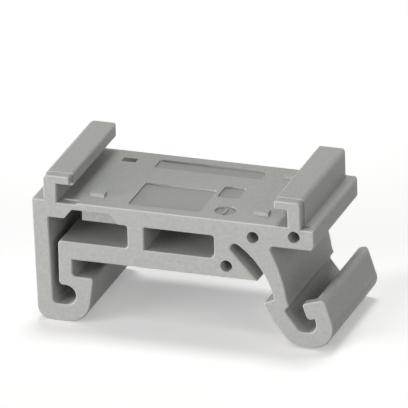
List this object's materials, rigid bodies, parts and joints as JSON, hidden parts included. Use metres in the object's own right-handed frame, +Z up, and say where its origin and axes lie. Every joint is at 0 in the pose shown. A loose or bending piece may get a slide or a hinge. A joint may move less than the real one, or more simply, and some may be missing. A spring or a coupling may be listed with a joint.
{
  "type": "din rail adapter",
  "caption": "One-piece moulded adapter that snaps onto a 15 mm mini DIN rail with a fixed claw and a sprung release hook, with two clips on top for a terminal block.",
  "frame": {"origin": "middle of the flat underside that rests on the rail's two flanges, halfway along the moulding", "axes": "+X across the rail, from the fixed claw to the release hook; +Y along the rail, towards the end with the rounded corners; +Z up from the rail to the block"},
  "size_m": [0.0223, 0.01, 0.0112],
  "materials": {
    "grey_polyamide": "fine-grained grey moulded polyamide"
  },
  "bodies": {
    "root": {"rail_adapter": "grey_polyamide"}
  },
  "joints": []
}
